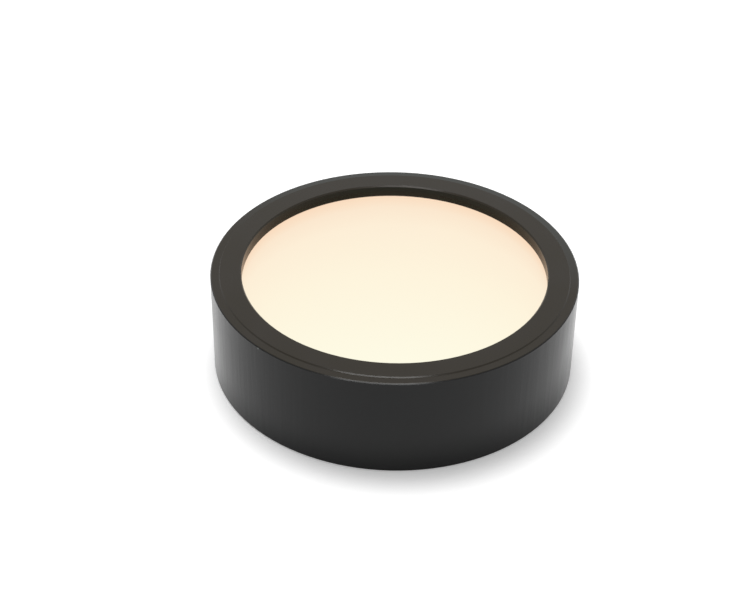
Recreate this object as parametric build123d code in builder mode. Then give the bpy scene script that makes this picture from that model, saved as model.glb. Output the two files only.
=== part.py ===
from build123d import *
from math import isclose
import os

os.makedirs("parts", exist_ok=True)

# A mounted optical bandpass filter, in millimetres.
# A stack of cemented glass plates drops into a turned ring cell from the rear, seats on the
# underside of the cell's thin front lip, and is held there by a washer and a threaded ring.
# The origin is the centre of the cell's rear face, which the filter stands on.
# +Z runs along the optical axis, towards the front lip and the mirror-like coated plate.

# Cell, radial sizes, from the outer wall inwards
cell_diameter = 25.4
relief_wall = 0.8
relief_depth = 0.24
thread_step = 0.26
seal_width = 0.25
seat_cover = 0.58

# Cell, axial sizes
rear_recess = 1.03
relief_width = 0.6
lip_thickness = 0.47

# Cell, front face: a bevelled step leads down to a narrow outer land
land_width = 0.58
land_drop = 0.07

# Cell, broken edges
front_edge_break = 0.08
rear_edge_break = 0.1
aperture_edge_break = 0.09
thread_entry_chamfer = 0.25

# Glass plates and the optical cement between them
coated_thickness = 1.1
colour_thickness = 2.0
blocking_thickness = 1.1
cement_thickness = 0.05
glass_bevel = 0.12

# Washer between the glass and the retaining ring
washer_thickness = 0.15

# Retaining ring, with two slots for a spanner wrench
ring_thickness = 1.5
ring_thread_clearance = 0.03
ring_edge_break = 0.12
slot_count = 2
slot_width = 1.0
slot_depth = 0.8

# Radii that follow: the thread is drawn as a plain wall at its pitch radius
cell_radius = cell_diameter / 2
land_radius = cell_radius - land_width
relief_radius = cell_radius - relief_wall
thread_radius = relief_radius - relief_depth
seat_radius = thread_radius - thread_step
glass_radius = seat_radius - seal_width
aperture_radius = glass_radius - seat_cover
ring_radius = thread_radius - ring_thread_clearance
ring_width = ring_radius - aperture_radius

# Heights that follow, from the rear face up
ring_z = rear_recess
washer_z = ring_z + ring_thickness
blocking_z = washer_z + washer_thickness
rear_cement_z = blocking_z + blocking_thickness
colour_z = rear_cement_z + cement_thickness
front_cement_z = colour_z + colour_thickness
coated_z = front_cement_z + cement_thickness
lip_z = coated_z + coated_thickness
cell_height = lip_z + lip_thickness
land_z = cell_height - land_drop
relief_z = washer_z + relief_width

EDGE_MATCH = 1e-4


def rims(part: Part, radius: float, *heights: float) -> ShapeList:
    """Pick the part's circular edges of one radius at the given heights."""
    return part.edges().filter_by(GeomType.CIRCLE).filter_by(
        lambda edge: isclose(edge.radius, radius, abs_tol=EDGE_MATCH)
        and any(isclose(edge.arc_center.Z, height, abs_tol=EDGE_MATCH) for height in heights)
    )


# Ring cell, turned from one bar: front lip, seat for the glass, thread relief and rear thread
with BuildPart() as cell_ring:
    with BuildSketch(Plane.XZ):
        with BuildLine():
            Polyline(
                (cell_radius, 0),
                (cell_radius, land_z),
                (land_radius, land_z),
                (land_radius - land_drop, cell_height),
                (aperture_radius, cell_height),
                (aperture_radius, lip_z),
                (seat_radius, lip_z),
                (seat_radius, relief_z),
                (relief_radius, relief_z),
                (relief_radius, washer_z),
                (thread_radius, washer_z),
                (thread_radius, 0),
                close=True,
            )
        make_face()
    revolve(axis=Axis.Z)
    chamfer(rims(cell_ring.part, cell_radius, land_z), front_edge_break)
    chamfer(rims(cell_ring.part, cell_radius, 0), rear_edge_break)
    chamfer(rims(cell_ring.part, aperture_radius, cell_height), aperture_edge_break)
    chamfer(rims(cell_ring.part, thread_radius, 0), thread_entry_chamfer)

cell_ring.part.label = "cell_ring"
export_step(cell_ring.part, "parts/cell_ring.step")

# Glass plates, each a disc with both edges bevelled: the rear blocking plate, the absorbing
# colour glass, and the front plate that carries the interference coating
plates = {
    "blocking_plate": (blocking_z, blocking_thickness),
    "colour_glass": (colour_z, colour_thickness),
    "coated_plate": (coated_z, coated_thickness),
}
for plate_name, (plate_z, plate_thickness) in plates.items():
    with BuildPart() as plate:
        with BuildSketch(Plane.XY.offset(plate_z)):
            Circle(glass_radius)
        extrude(amount=plate_thickness)
        chamfer(rims(plate.part, glass_radius, plate_z, plate_z + plate_thickness), glass_bevel)
    plate.part.label = plate_name
    export_step(plate.part, f"parts/{plate_name}.step")

# Optical cement, a thin film between the flat faces of two plates
cements = {"rear_cement": rear_cement_z, "front_cement": front_cement_z}
for cement_name, cement_z in cements.items():
    with BuildPart() as cement:
        with BuildSketch(Plane.XY.offset(cement_z)):
            Circle(glass_radius - glass_bevel)
        extrude(amount=cement_thickness)
    cement.part.label = cement_name
    export_step(cement.part, f"parts/{cement_name}.step")

# Edge seal, the black epoxy that fills the gap between the glass stack and the seat
with BuildPart() as edge_seal:
    with BuildSketch(Plane.XY.offset(relief_z)):
        Circle(seat_radius)
        Circle(glass_radius, mode=Mode.SUBTRACT)
    extrude(amount=lip_z - relief_z)

edge_seal.part.label = "edge_seal"
export_step(edge_seal.part, "parts/edge_seal.step")

# Bearing washer, a thin film ring that keeps the retaining ring off the glass
with BuildPart() as bearing_washer:
    with BuildSketch(Plane.XY.offset(washer_z)):
        Circle(glass_radius)
        Circle(aperture_radius, mode=Mode.SUBTRACT)
    extrude(amount=washer_thickness)

bearing_washer.part.label = "bearing_washer"
export_step(bearing_washer.part, "parts/bearing_washer.step")

# Retaining ring, screwed in from the rear, with its spanner slots in the face that shows
with BuildPart() as retaining_ring:
    with BuildSketch(Plane.XY.offset(ring_z)):
        Circle(ring_radius)
        Circle(aperture_radius, mode=Mode.SUBTRACT)
    extrude(amount=ring_thickness)
    chamfer(rims(retaining_ring.part, ring_radius, ring_z, washer_z), ring_edge_break)
    chamfer(rims(retaining_ring.part, aperture_radius, ring_z), ring_edge_break)
    with BuildSketch(Plane.XY.offset(ring_z)):
        with PolarLocations(aperture_radius + ring_width / 2, slot_count):
            Rectangle(2 * ring_width, slot_width)
    extrude(amount=slot_depth, mode=Mode.SUBTRACT)

retaining_ring.part.label = "retaining_ring"
export_step(retaining_ring.part, "parts/retaining_ring.step")
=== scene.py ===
import logging
import math
from dataclasses import dataclass, field
from enum import Enum

import bmesh
import bpy
from mathutils import Matrix, Vector


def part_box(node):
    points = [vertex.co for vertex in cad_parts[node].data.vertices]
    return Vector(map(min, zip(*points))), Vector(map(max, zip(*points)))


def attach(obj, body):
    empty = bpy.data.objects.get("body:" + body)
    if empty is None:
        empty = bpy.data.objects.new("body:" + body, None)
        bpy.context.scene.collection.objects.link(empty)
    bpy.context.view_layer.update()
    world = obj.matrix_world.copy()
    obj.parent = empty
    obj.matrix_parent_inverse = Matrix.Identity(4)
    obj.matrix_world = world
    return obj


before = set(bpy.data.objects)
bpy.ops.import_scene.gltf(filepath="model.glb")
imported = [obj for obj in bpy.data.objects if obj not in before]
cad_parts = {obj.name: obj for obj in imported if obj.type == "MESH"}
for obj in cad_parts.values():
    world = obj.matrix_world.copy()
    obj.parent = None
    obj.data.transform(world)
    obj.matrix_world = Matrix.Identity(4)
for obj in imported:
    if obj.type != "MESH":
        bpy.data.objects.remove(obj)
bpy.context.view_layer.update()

MM = 0.001
UM = 0.000001
BODY = "root"

log = logging.getLogger("bandpass_filter")
logging.basicConfig(level=logging.INFO, format="%(message)s")

Colour = tuple[float, float, float]
Socket = bpy.types.NodeSocket
WHITE: Colour = (1.0, 1.0, 1.0)

# The detail of a soft and of a fine noise, and the part of its range that a pattern uses.
SOFT_DETAIL = 2.0
FINE_DETAIL = 3.0
NARROW_RANGE = (0.35, 0.65)
WIDE_RANGE = (0.3, 0.7)


def linear(red: int, green: int, blue: int) -> Colour:
    """Turn a colour seen on screen into the linear values that a shader takes.

    Args:
        red: Red, from 0 to 255.
        green: Green, from 0 to 255.
        blue: Blue, from 0 to 255.

    Returns:
        The three linear values, from 0 to 1.
    """
    def channel(value: int) -> float:
        """Return one channel without its screen curve."""
        share = value / 255
        return share / 12.92 if share <= 0.04045 else ((share + 0.055) / 1.055) ** 2.4

    return channel(red), channel(green), channel(blue)


class Panel(Enum):
    """The outline of a lamp's light-giving face."""

    ROUND = "DISK"
    OBLONG = "RECTANGLE"


class Reach(Enum):
    """What a lamp does: light the matt surfaces, or show as a highlight in the glossy ones."""

    SHADE = "shade"
    HIGHLIGHT = "highlight"


class Tree:
    """A material's or the world's node tree, with short calls to add and join nodes."""

    def __init__(self, owner: bpy.types.ID) -> None:
        """Empty the owner's node tree.

        Args:
            owner: The material or world that holds the tree.
        """
        owner.use_nodes = True
        self.nodes = owner.node_tree.nodes
        self.links = owner.node_tree.links
        self.nodes.clear()

    def add(self, kind: str, inputs: dict[str | int, object] | None = None,
            **settings: object) -> bpy.types.Node:
        """Add one node.

        Args:
            kind: The node's type name.
            inputs: Socket values or the sockets that feed them, by socket name or number.
            **settings: Properties of the node itself.

        Returns:
            The new node.
        """
        node = self.nodes.new(kind)
        for name, value in settings.items():
            setattr(node, name, value)
        for key, value in (inputs or {}).items():
            self.feed(node.inputs[key], value)
        return node

    def feed(self, socket: Socket, value: object) -> None:
        """Set a socket to a value, or join it to another node's output.

        Args:
            socket: The input socket.
            value: A number, a tuple, or an output socket.
        """
        if isinstance(value, Socket):
            self.links.new(value, socket)
        elif isinstance(value, tuple) and len(value) == 3 and socket.type == "RGBA":
            socket.default_value = (*value, 1.0)
        else:
            socket.default_value = value

    def maths(self, operation: str, first: object, second: object = 0.0) -> Socket:
        """Return the result of a Math node on two values or sockets."""
        return self.add("ShaderNodeMath", {0: first, 1: second}, operation=operation).outputs[0]

    def point(self, x: object, y: object, z: object = 0.0) -> Socket:
        """Return a vector put together from three values or sockets."""
        return self.add("ShaderNodeCombineXYZ", {0: x, 1: y, 2: z}).outputs[0]

    def blend(self, share: object, first: object, second: object) -> Socket:
        """Mix two colours.

        Args:
            share: How much of the second colour shows, from 0 to 1.
            first: The first colour.
            second: The second colour.

        Returns:
            The mixed colour.
        """
        node = self.add("ShaderNodeMix", data_type="RGBA")
        self.feed(node.inputs["Factor"], share)
        colours = [socket for socket in node.inputs if socket.type == "RGBA"]
        self.feed(colours[0], first)
        self.feed(colours[1], second)
        return next(socket for socket in node.outputs if socket.type == "RGBA")

    def spread(self, value: object, start: float, end: float,
               low: float = 0.0, high: float = 1.0) -> Socket:
        """Return a value moved from start and end to low and high, and kept between them."""
        inputs = {0: value, 1: start, 2: end, 3: low, 4: high}
        return self.add("ShaderNodeMapRange", inputs).outputs[0]

    def noise(self, vector: object, pitch: float, detail: float = SOFT_DETAIL) -> Socket:
        """Return the grey value of a noise whose lumps are about one pitch across."""
        inputs = {"Vector": vector, "Scale": 1 / pitch, "Detail": detail}
        return self.add("ShaderNodeTexNoise", inputs).outputs[0]

    def bump(self, height: object, depth: float, under: Socket | None = None) -> Socket:
        """Return the normal of a surface roughened by a height map.

        Args:
            height: The height map, from 0 to 1.
            depth: The height of its highest point, in metres.
            under: The normal that this one is laid over.

        Returns:
            The new normal.
        """
        inputs = {"Height": height, "Distance": depth, "Strength": 1.0}
        if under:
            inputs["Normal"] = under
        return self.add("ShaderNodeBump", inputs).outputs[0]

    def close(self, surface: bpy.types.Node) -> None:
        """Join a shader to the material output."""
        self.add("ShaderNodeOutputMaterial", {0: surface.outputs[0]})


@dataclass(frozen=True)
class Lathe:
    """Places on a turned piece, for patterns that follow the tool."""

    place: Socket
    radius: Socket
    height: Socket
    round_wall: Socket

    @classmethod
    def of(cls, tree: Tree, wall_radius: float) -> "Lathe":
        """Read the object's own coordinates as places about the optical axis.

        Args:
            tree: The material's node tree.
            wall_radius: The radius at which lengths round the axis are true.

        Returns:
            The sockets that give each place.
        """
        place = tree.add("ShaderNodeTexCoord").outputs["Object"]
        parts = tree.add("ShaderNodeSeparateXYZ", {0: place})
        squares = [tree.maths("MULTIPLY", parts.outputs[i], parts.outputs[i]) for i in (0, 1)]
        radius = tree.maths("SQRT", tree.maths("ADD", *squares))
        angle = tree.maths("ARCTAN2", parts.outputs[1], parts.outputs[0])
        return cls(place, radius, parts.outputs[2], tree.maths("MULTIPLY", angle, wall_radius))


@dataclass(frozen=True)
class Anodised:
    """Black anodised aluminium with the fine marks of the lathe left in it.

    The dye is a neutral black on the wall. On the front face it is a brownish black,
    partly dye faded by light and partly a painted warm reflection. The far side of the
    outer land is painted paler, a painted reflection. Inside the lip a painted cold cast
    offsets the coating's warm reflection.
    """

    name: str
    wall_radius: float
    # Height band in which the front face takes the faded dye with its painted warm reflection.
    fade_and_reflection_from: float
    fade_and_reflection_to: float
    land_radius: float
    lip_radius: float
    deep: Colour = (0.0018, 0.0020, 0.0022)
    deep_cloud: Colour = (0.0030, 0.0033, 0.0031)
    # Brownish black of the front face: partly faded dye, partly painted warm reflection.
    fade_and_reflection: Colour = (0.0180, 0.0132, 0.0060)
    fade_and_reflection_cloud: Colour = (0.0200, 0.0155, 0.0095)
    # Painted reflection: a paler colour laid on the far side of the outer land, and the direction
    # and distances over which it comes in.
    painted_far_sheen: Colour = (0.0380, 0.0400, 0.0360)
    painted_sheen_side: tuple[float, float, float] = (0.3, 1.0, 0.0)
    painted_sheen_from: float = 1.0 * MM
    painted_sheen_to: float = 9.0 * MM
    # Painted cold cast inside the lip, which offsets the coating's warm reflection there.
    painted_cold_cast: Colour = (0.0030, 0.0105, 0.0100)
    blend_width: float = 0.04 * MM
    film_ior: float = 1.33
    roughness_low: float = 0.18
    roughness_high: float = 0.26
    cloud_share: float = 0.6
    cloud_pitch: float = 4.0 * MM
    mark_pitch: float = 0.07 * MM
    mark_depth: float = 0.7 * UM
    mark_lead: float = 0.02
    chatter_pitch: float = 0.45 * MM
    chatter_depth: float = 12.0 * UM
    chatter_stretch: float = 0.04
    wall_margin: float = 0.02 * MM
    grain_pitch: float = 0.05 * MM
    grain_depth: float = 0.4 * UM
    speck_spacing: float = 2.6 * MM
    speck_size: float = 0.03
    speck_colour: Colour = (0.20, 0.21, 0.20)

    def make(self) -> bpy.types.Material:
        """Build the material.

        Returns:
            The finished material.
        """
        material = bpy.data.materials.new(self.name)
        tree = Tree(material)
        lathe = Lathe.of(tree, self.wall_radius)
        cloud = tree.noise(lathe.place, self.cloud_pitch, FINE_DETAIL)
        chatter = self.chatter(tree, lathe)
        surface = tree.add("ShaderNodeBsdfPrincipled", {
            "Base Color": self.colour(tree, lathe, cloud),
            "Roughness": self.roughness(tree, cloud, chatter),
            "IOR": self.film_ior,
            "Normal": self.relief(tree, lathe, chatter)})
        tree.close(surface)
        return material

    def colour(self, tree: Tree, lathe: Lathe, cloud: Socket) -> Socket:
        """Mix the dye by its place on the cell, and scatter a few tiny pale specks.

        Args:
            tree: The material's node tree.
            lathe: The places on the piece.
            cloud: A slow noise.

        Returns:
            The colour of the surface.
        """
        unevenness = tree.spread(cloud, *NARROW_RANGE)
        deep = tree.blend(unevenness, self.deep, self.deep_cloud)
        # Front-face colour: faded dye with a painted warm reflection, laid on by height.
        fade_and_reflection = tree.blend(unevenness, self.fade_and_reflection, self.fade_and_reflection_cloud)
        on_face = tree.spread(lathe.height, self.fade_and_reflection_from, self.fade_and_reflection_to)
        on_land = tree.spread(lathe.radius, self.land_radius, self.land_radius + self.blend_width)
        # Painted reflection: the outer land is made paler towards its far side.
        aside = tree.add("ShaderNodeVectorMath", {0: lathe.place, 1: self.painted_sheen_side},
                         operation="DOT_PRODUCT")
        painted_sheen_share = tree.spread(aside.outputs["Value"], self.painted_sheen_from, self.painted_sheen_to)
        # Inside the lip the dye gets the painted cold cast.
        off_lip = tree.spread(lathe.radius, self.lip_radius, self.lip_radius + self.blend_width)
        face = tree.blend(tree.maths("MULTIPLY", on_land, painted_sheen_share), fade_and_reflection, self.painted_far_sheen)
        dye = tree.blend(on_face, tree.blend(off_lip, self.painted_cold_cast, deep), face)
        cells = tree.add("ShaderNodeTexVoronoi",
                         {"Vector": lathe.place, "Scale": 1 / self.speck_spacing})
        speck = tree.spread(cells.outputs["Distance"], self.speck_size, self.speck_size / 2)
        return tree.blend(speck, dye, self.speck_colour)

    def chatter(self, tree: Tree, lathe: Lathe) -> Socket:
        """Return the faint upright streaks that the tool left round the wall."""
        stretched = tree.maths("MULTIPLY", lathe.height, self.chatter_stretch)
        return tree.noise(tree.point(lathe.round_wall, stretched), self.chatter_pitch)

    def roughness(self, tree: Tree, cloud: Socket, chatter: Socket) -> Socket:
        """Let the roughness drift with the cloud and the streaks.

        Args:
            tree: The material's node tree.
            cloud: A slow noise.
            chatter: The streaks.

        Returns:
            The roughness of the surface.
        """
        slow = tree.maths("MULTIPLY", cloud, self.cloud_share)
        quick = tree.maths("MULTIPLY", chatter, 1 - self.cloud_share)
        return tree.spread(tree.maths("ADD", slow, quick), *NARROW_RANGE,
                           self.roughness_low, self.roughness_high)

    def relief(self, tree: Tree, lathe: Lathe, chatter: Socket) -> Socket:
        """Lay the etched grain, the tool marks and the streaks over each other.

        Args:
            tree: The material's node tree.
            lathe: The places on the piece.
            chatter: The streaks.

        Returns:
            The normal of the surface.
        """
        lead = tree.maths("MULTIPLY", lathe.round_wall, self.mark_lead)
        turned_at = tree.point(lathe.radius, lathe.height, lead)
        marks = tree.noise(turned_at, self.mark_pitch, FINE_DETAIL)
        on_wall = tree.maths("GREATER_THAN", lathe.radius, self.wall_radius - self.wall_margin)
        normal = tree.bump(tree.noise(lathe.place, self.grain_pitch), self.grain_depth)
        normal = tree.bump(marks, self.mark_depth, normal)
        return tree.bump(tree.maths("MULTIPLY", chatter, on_wall), self.chatter_depth, normal)


@dataclass(frozen=True)
class MirrorCoating:
    """The front plate's interference coating: a warm mirror that turns peach along one edge.

    The peach-to-ivory tint is a painted reflection: it fixes to the plate the angle-dependent
    tint of the coating's reflection. It follows the distance from the far half of the lip,
    measured straight across the plate, is strongest beside the lip and fades to ivory at the
    near side.
    """

    lip_radius: float
    name: str = "warm mirror coating"
    peach: Colour = linear(249, 214, 182)
    pale_peach: Colour = linear(251, 231, 206)
    pale_peach_at: float = 2.2 * MM
    sand: Colour = linear(253, 238, 214)
    sand_at: float = 4.6 * MM
    cream: Colour = linear(254, 244, 220)
    cream_at: float = 10.5 * MM
    ivory: Colour = linear(254, 251, 229)
    waver: float = 0.5 * MM
    waver_pitch: float = 9.0 * MM
    roughness: float = 0.03

    def make(self) -> bpy.types.Material:
        """Build the material.

        Returns:
            The finished material.
        """
        material = bpy.data.materials.new(self.name)
        tree = Tree(material)
        place = tree.add("ShaderNodeTexCoord").outputs["Object"]
        # Painted reflection: the ramp lays the peach-to-ivory tint across the plate.
        ramp = tree.add("ShaderNodeValToRGB", {0: self.run(tree, place)})
        stops = ramp.color_ramp.elements
        stops[0].color = (*self.peach, 1)
        stops[1].color = (*self.ivory, 1)
        between = {self.pale_peach_at: self.pale_peach, self.sand_at: self.sand,
                   self.cream_at: self.cream}
        for distance, tint in between.items():
            stops.new(distance / (2 * self.lip_radius)).color = (*tint, 1)
        surface = tree.add("ShaderNodeBsdfPrincipled", {
            "Base Color": ramp.outputs[0], "Metallic": 1.0, "Roughness": self.roughness})
        tree.close(surface)
        return material

    def run(self, tree: Tree, place: Socket) -> Socket:
        """Measure the way across the plate from the far half of the lip.

        Args:
            tree: The material's node tree.
            place: The object's own coordinates.

        Returns:
            The way, from 0 at the far lip to 1 at the near lip.
        """
        parts = tree.add("ShaderNodeSeparateXYZ", {0: place})
        aside = tree.maths("MULTIPLY", parts.outputs[0], parts.outputs[0])
        left = tree.maths("MAXIMUM", tree.maths("SUBTRACT", self.lip_radius ** 2, aside), 0.0)
        across = tree.maths("SUBTRACT", tree.maths("SQRT", left), parts.outputs[1])
        wander = tree.spread(tree.noise(place, self.waver_pitch), 0, 1, -self.waver, self.waver)
        return tree.spread(tree.maths("ADD", across, wander), 0, 2 * self.lip_radius)


@dataclass(frozen=True)
class ClearCement:
    """Clear optical cement between two plates, slightly yellow and slightly streaky."""

    name: str = "clear cement"
    tint: Colour = (0.95, 0.92, 0.84)
    ior: float = 1.56
    roughness: float = 0.01
    streak_pitch: float = 11 * MM
    streak_gain: float = 1.12

    def make(self) -> bpy.types.Material:
        """Build the material.

        Returns:
            The finished material.
        """
        material = bpy.data.materials.new(self.name)
        tree = Tree(material)
        place = tree.add("ShaderNodeTexCoord").outputs["Object"]
        streaks = tree.spread(tree.noise(place, self.streak_pitch), *WIDE_RANGE)
        paler = tuple(min(1.0, part * self.streak_gain) for part in self.tint)
        surface = tree.add("ShaderNodeBsdfPrincipled", {
            "Base Color": tree.blend(streaks, self.tint, paler), "Roughness": self.roughness,
            "IOR": self.ior, "Transmission Weight": 1.0})
        tree.close(surface)
        return material


@dataclass(frozen=True)
class BackedGlass:
    """Polished glass with a mirror behind it, which sends light back in the glass's colour."""

    name: str
    dye: Colour
    deeper: Colour
    returned: float = 0.7
    roughness: float = 0.04
    polish: float = 1.0
    polish_roughness: float = 0.01
    streak_pitch: float = 9 * MM

    def make(self) -> bpy.types.Material:
        """Build the material.

        Returns:
            The finished material.
        """
        material = bpy.data.materials.new(self.name)
        tree = Tree(material)
        place = tree.add("ShaderNodeTexCoord").outputs["Object"]
        streaks = tree.spread(tree.noise(place, self.streak_pitch), *WIDE_RANGE)
        surface = tree.add("ShaderNodeBsdfPrincipled", {
            "Base Color": tree.blend(streaks, self.dye, self.deeper), "Metallic": self.returned,
            "Roughness": self.roughness, "Coat Weight": self.polish,
            "Coat Roughness": self.polish_roughness})
        tree.close(surface)
        return material


@dataclass(frozen=True)
class BlackFill:
    """A black sealing material: cast epoxy or thin film."""

    name: str
    roughness: float
    base: Colour = (0.010, 0.010, 0.011)
    paler: Colour = (0.018, 0.018, 0.020)
    grain_pitch: float = 0.12 * MM
    grain_depth: float = 2 * UM

    def make(self) -> bpy.types.Material:
        """Build the material.

        Returns:
            The finished material.
        """
        material = bpy.data.materials.new(self.name)
        tree = Tree(material)
        place = tree.add("ShaderNodeTexCoord").outputs["Object"]
        grain = tree.noise(place, self.grain_pitch, FINE_DETAIL)
        surface = tree.add("ShaderNodeBsdfPrincipled", {
            "Base Color": tree.blend(grain, self.base, self.paler), "Roughness": self.roughness,
            "Normal": tree.bump(grain, self.grain_depth)})
        tree.close(surface)
        return material


@dataclass(frozen=True)
class WhiteSweep:
    """The pale floor: it takes the object's shadow and is otherwise white."""

    name: str = "white_floor"
    albedo: float = 0.95
    fibre_shade: float = 0.94
    fibre_pitch: float = 1.1 * MM
    lift: float = 0.29

    def make(self) -> bpy.types.Material:
        """Build the material.

        Returns:
            The finished material.
        """
        material = bpy.data.materials.new(self.name)
        tree = Tree(material)
        place = tree.add("ShaderNodeTexCoord").outputs["Object"]
        fibres = tree.noise(place, self.fibre_pitch, FINE_DETAIL)
        paper = tree.blend(fibres, (self.fibre_shade,) * 3, (self.albedo,) * 3)
        diffuse = tree.add("ShaderNodeBsdfDiffuse", {0: paper})
        strength = tree.maths("MULTIPLY", straight_look(tree), self.lift)
        glow = tree.add("ShaderNodeEmission", {0: WHITE, 1: strength})
        tree.close(tree.add("ShaderNodeAddShader", {0: diffuse.outputs[0], 1: glow.outputs[0]}))
        return material


def straight_look(tree: Tree) -> Socket:
    """Tell rays that show the background from rays that light the object.

    Args:
        tree: The node tree to add to.

    Returns:
        A value that is 1 for camera, glossy and transmission rays.
    """
    path = tree.add("ShaderNodeLightPath")
    seen = tree.maths("MAXIMUM", path.outputs["Is Camera Ray"], path.outputs["Is Glossy Ray"])
    return tree.maths("MAXIMUM", seen, path.outputs["Is Transmission Ray"])


def dress(node: str, material: bpy.types.Material) -> None:
    """Give a CAD node its finish.

    Args:
        node: The node's name.
        material: The finish.
    """
    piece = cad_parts[node]
    piece.data.materials.clear()
    piece.data.materials.append(material)
    log.info("%s has the finish %s", node, material.name)


@dataclass
class CellThread:
    """The ridge of the cell's fine inner thread, where it shows behind the retaining ring."""

    slot: str = "anodised_cell"
    pitch: float = 0.5 * MM
    depth: float = 0.13 * MM
    base_width: float = 0.30 * MM
    crest_width: float = 0.06 * MM
    sunk: float = 0.03 * MM
    ring_clearance: float = 0.03 * MM
    mouth_chamfer: float = 0.25 * MM
    end_gap: float = 0.02 * MM
    end_corners: int = 4
    steps_per_turn: int = 144
    fading_steps: int = 12
    crease_deg: float = 25

    def build(self, finish: bpy.types.Material) -> None:
        """Turn a small trapezoid about the optical axis into a helical ridge.

        Args:
            finish: The cell's finish.
        """
        ring_low, ring_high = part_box("retaining_ring")
        bore = ring_high[0] + self.ring_clearance
        start = self.mouth_chamfer - self.sunk + self.base_width / 2
        rise = ring_low[2] - self.end_gap - self.base_width / 2 - start
        ridge = self.section(bore, start)
        steps = round(rise / self.pitch * self.steps_per_turn)
        sweep = ridge.modifiers.new("helix", "SCREW")
        sweep.axis = "Z"
        sweep.angle = math.tau * rise / self.pitch
        sweep.screw_offset = rise
        sweep.steps = sweep.render_steps = steps
        sweep.use_smooth_shade = False
        bpy.ops.object.modifier_apply(modifier=sweep.name)
        self.fade_ends(ridge, bore)
        self.close_up(ridge)
        ridge.data.materials.append(finish)
        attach(ridge, BODY)
        log.info("cell_thread has %d faces", len(ridge.data.polygons))

    def section(self, bore: float, start: float) -> bpy.types.Object:
        """Stand a trapezoid on the bore's wall, with its narrow side towards the axis.

        Args:
            bore: The radius of the cell's bore.
            start: The height of the section's middle.

        Returns:
            The section as an object at the origin.
        """
        reach = self.depth + self.sunk
        bpy.ops.object.select_all(action="DESELECT")
        bpy.ops.mesh.primitive_plane_add(size=1, location=(bore + self.sunk - reach / 2, 0, start))
        ridge = bpy.context.object
        ridge.name = "cell_thread"
        bpy.ops.object.mode_set(mode="EDIT")
        bpy.ops.mesh.select_all(action="SELECT")
        middle = tuple(ridge.location)
        bpy.ops.transform.resize(value=(reach, self.base_width, 1), center_override=middle)
        bpy.ops.transform.rotate(value=math.pi / 2, orient_axis="X", center_override=middle)
        self.pick(ridge, [v.index for v in ridge.data.vertices if v.co.x < 0])
        narrowed = self.crest_width / self.base_width
        bpy.ops.transform.resize(value=(1, 1, narrowed), center_override=middle)
        bpy.ops.mesh.select_all(action="SELECT")
        bpy.ops.mesh.delete(type="ONLY_FACE")
        bpy.ops.object.mode_set(mode="OBJECT")
        bpy.ops.object.transform_apply(location=True, rotation=True, scale=True)
        return ridge

    def pick(self, piece: bpy.types.Object, numbers: list[int]) -> None:
        """Select some vertices and nothing else, in edit mode.

        Args:
            piece: The object that is being edited.
            numbers: The numbers of its vertices.
        """
        bpy.ops.mesh.select_all(action="DESELECT")
        shape = bmesh.from_edit_mesh(piece.data)
        shape.verts.ensure_lookup_table()
        for number in numbers:
            shape.verts[number].select = True
        shape.select_flush_mode()
        bmesh.update_edit_mesh(piece.data)

    def fade_ends(self, ridge: bpy.types.Object, bore: float) -> None:
        """Let the ridge run out into the wall at both ends.

        The sweep numbers its vertices step by step, so the crest's come in pairs from end to end.

        Args:
            ridge: The helical ridge.
            bore: The radius of the cell's bore.
        """
        crest = [v.index for v in ridge.data.vertices if v.co.xy.length < bore]
        bpy.ops.object.mode_set(mode="EDIT")
        for step in range(self.fading_steps):
            left = 1 - step / self.fading_steps
            outward = 1 + left * self.depth / (bore - self.depth)
            pair = slice(2 * step, 2 * step + 2)
            self.pick(ridge, crest[pair] + crest[::-1][pair])
            bpy.ops.transform.resize(value=(outward, outward, 1), center_override=(0, 0, 0))
        bpy.ops.object.mode_set(mode="OBJECT")

    def close_up(self, ridge: bpy.types.Object) -> None:
        """Cap the two ends, turn every face outwards and smooth the long faces.

        Args:
            ridge: The helical ridge.
        """
        bpy.ops.object.mode_set(mode="EDIT")
        bpy.ops.mesh.select_all(action="SELECT")
        bpy.ops.mesh.fill_holes(sides=self.end_corners)
        bpy.ops.mesh.normals_make_consistent(inside=False)
        bpy.ops.object.mode_set(mode="OBJECT")
        bpy.ops.object.shade_smooth_by_angle(angle=math.radians(self.crease_deg))


@dataclass
class CellRing:
    """The turned ring cell, its rear thread, and the ring that holds the glass in it."""

    thread: CellThread = field(default_factory=CellThread)
    # Depths below the top between which the front face turns to the faded dye with painted warm
    # reflection.
    fade_and_reflection_start: float = 0.11 * MM
    fade_and_reflection_end: float = 0.08 * MM
    land_width: float = 0.62 * MM
    lip_reach: float = 2.1 * MM
    ring_roughness_low: float = 0.28
    ring_roughness_high: float = 0.36

    def build(self) -> None:
        """Dress the two turned rings and cut the thread."""
        radius, _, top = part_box("cell_ring")[1]
        bands = {"fade_and_reflection_from": top - self.fade_and_reflection_start, "fade_and_reflection_to": top - self.fade_and_reflection_end,
                 "land_radius": radius - self.land_width}
        cell = Anodised("black cell", radius, lip_radius=radius - self.lip_reach, **bands).make()
        ring = Anodised("black ring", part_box("retaining_ring")[1][0], lip_radius=0.0, **bands,
                        roughness_low=self.ring_roughness_low,
                        roughness_high=self.ring_roughness_high).make()
        dress("cell_ring", cell)
        dress("retaining_ring", ring)
        self.thread.build(cell)


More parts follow.
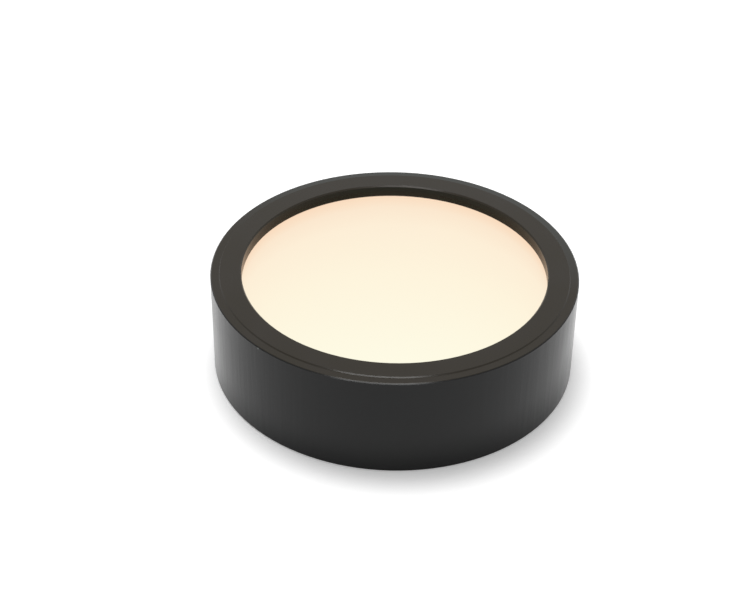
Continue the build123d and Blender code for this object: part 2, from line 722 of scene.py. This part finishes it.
@dataclass
class GlassStack:
    """The cemented plates, the seal round their edge and the washer behind them."""

    colour: BackedGlass = BackedGlass("amber glass", (0.62, 0.27, 0.035), (0.50, 0.19, 0.020))
    rear: BackedGlass = BackedGlass("grey green glass on amber",
                                    (0.34, 0.19, 0.035), (0.27, 0.14, 0.024))
    cement: ClearCement = ClearCement()
    seal: BlackFill = BlackFill("cast epoxy", 0.35)
    film: BlackFill = BlackFill("pressed film", 0.6)
    lip_cover: float = 0.58 * MM

    def build(self) -> None:
        """Dress every piece of the stack."""
        cement = self.cement.make()
        lip_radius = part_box("coated_plate")[1][0] - self.lip_cover
        dress("coated_plate", MirrorCoating(lip_radius).make())
        dress("front_cement", cement)
        dress("colour_glass", self.colour.make())
        dress("rear_cement", cement)
        dress("blocking_plate", self.rear.make())
        dress("edge_seal", self.seal.make())
        dress("bearing_washer", self.film.make())


@dataclass(frozen=True)
class Softbox:
    """A lamp with a flat soft face, turned to the object.

    The azimuth runs clockwise from the far side, seen from above.
    """

    name: str
    panel: Panel
    azimuth_deg: float
    elevation_deg: float
    distance: float
    width: float
    depth: float
    watts: float
    reach: Reach

    def build(self, aim: Vector) -> None:
        """Add the lamp.

        Args:
            aim: The point that the lamp faces.
        """
        turn = math.radians(self.azimuth_deg)
        rise = math.radians(self.elevation_deg)
        level = math.cos(rise)
        away = Vector((math.sin(turn) * level, math.cos(turn) * level, math.sin(rise)))
        lamp = bpy.data.lights.new(self.name, "AREA")
        lamp.shape = self.panel.value
        lamp.size = self.width
        if self.panel is Panel.OBLONG:
            lamp.size_y = self.depth
        lamp.energy = self.watts
        holder = bpy.data.objects.new(self.name, lamp)
        holder.location = aim + away * self.distance
        holder.rotation_euler = away.to_track_quat("Z", "Y").to_euler()
        holder.visible_diffuse = self.reach is Reach.SHADE
        holder.visible_glossy = self.reach is Reach.HIGHLIGHT
        holder.visible_camera = False
        bpy.context.collection.objects.link(holder)
        log.info("lamp %s", self.name)


@dataclass
class Studio:
    """White sweep, white surround and soft lamps."""

    floor_radius: float = 0.6
    floor_sides: int = 96
    fill: float = 0.32
    surround: float = 1.0
    lamps: tuple[Softbox, ...] = (
        Softbox("key_softbox", Panel.ROUND, -18, 79, 0.40, 0.17, 0.17, 1.15, Reach.SHADE),
        Softbox("front_strip", Panel.OBLONG, 188, 54, 0.35, 0.25, 0.05, 0.45, Reach.HIGHLIGHT),
    )

    def build(self, aim: Vector) -> None:
        """Add the floor, the world and the lamps.

        Args:
            aim: The point that the lamps face.
        """
        bpy.ops.object.select_all(action="DESELECT")
        bpy.ops.mesh.primitive_circle_add(vertices=self.floor_sides, radius=self.floor_radius,
                                          fill_type="NGON")
        floor = bpy.context.object
        floor.name = "floor"
        floor.data.materials.append(WhiteSweep().make())
        self.light_world()
        for lamp in self.lamps:
            lamp.build(aim)

    def light_world(self) -> None:
        """Make the surround white to look at, and softer as a light."""
        world = bpy.data.worlds.new("surround")
        bpy.context.scene.world = world
        tree = Tree(world)
        looked_at = straight_look(tree)
        lit = tree.add("ShaderNodeBackground", {0: WHITE, 1: self.fill})
        white = tree.add("ShaderNodeBackground", {0: WHITE, 1: self.surround})
        mixed = tree.add("ShaderNodeMixShader",
                         {0: looked_at, 1: lit.outputs[0], 2: white.outputs[0]})
        tree.add("ShaderNodeOutputWorld", {0: mixed.outputs[0]})


@dataclass
class Viewpoint:
    """The pinhole camera of the photograph, found from the outlines of the rim and the base."""

    picture_width: int = 750
    picture_height: int = 616
    focal_px: float = 1700
    distance: float = 117.41 * MM
    elevation_deg: float = 34.959
    roll_deg: float = 1.355
    land_centre_px: tuple[float, float] = (394.73, 268.55)
    land_drop: float = 0.07 * MM
    sensor_width: float = 36.0
    nearest: float = 0.001

    def build(self, face_centre: Vector) -> None:
        """Add the camera so that the centre of the outer land falls on its pixel.

        Args:
            face_centre: The centre of the cell's front face.
        """
        rise = math.radians(self.elevation_deg)
        land_centre = face_centre - Vector((0, 0, self.land_drop))
        place = land_centre + self.distance * Vector((0, -math.cos(rise), math.sin(rise)))
        ahead = (land_centre - place).normalized()
        right = Vector((1, 0, 0))
        level = Matrix((right, ahead.cross(right), ahead))
        rolled = Matrix.Rotation(math.radians(self.roll_deg), 3, "Z") @ level
        aside = Vector((self.land_centre_px[0] - self.picture_width / 2,
                        self.land_centre_px[1] - self.picture_height / 2, self.focal_px))
        right, down, ahead = Vector((0, 0, 1)).rotation_difference(aside).to_matrix() @ rolled
        basis = Matrix((right, -down, -ahead)).transposed()
        camera = bpy.data.cameras.new("camera")
        camera.sensor_fit = "HORIZONTAL"
        camera.sensor_width = self.sensor_width
        camera.lens = self.focal_px / self.picture_width * self.sensor_width
        camera.clip_start = self.nearest
        holder = bpy.data.objects.new("camera", camera)
        holder.matrix_world = Matrix.Translation(place) @ basis.to_4x4()
        bpy.context.collection.objects.link(holder)
        bpy.context.scene.camera = holder
        log.info("camera at %.1f mm", self.distance / MM)


def main() -> None:
    """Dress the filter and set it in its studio."""
    bpy.context.scene.view_settings.view_transform = "Standard"
    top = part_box("cell_ring")[1][2]
    CellRing().build()
    GlassStack().build()
    Studio().build(Vector((0, 0, top / 2)))
    Viewpoint().build(Vector((0, 0, top)))


if __name__ == "__main__":
    main()
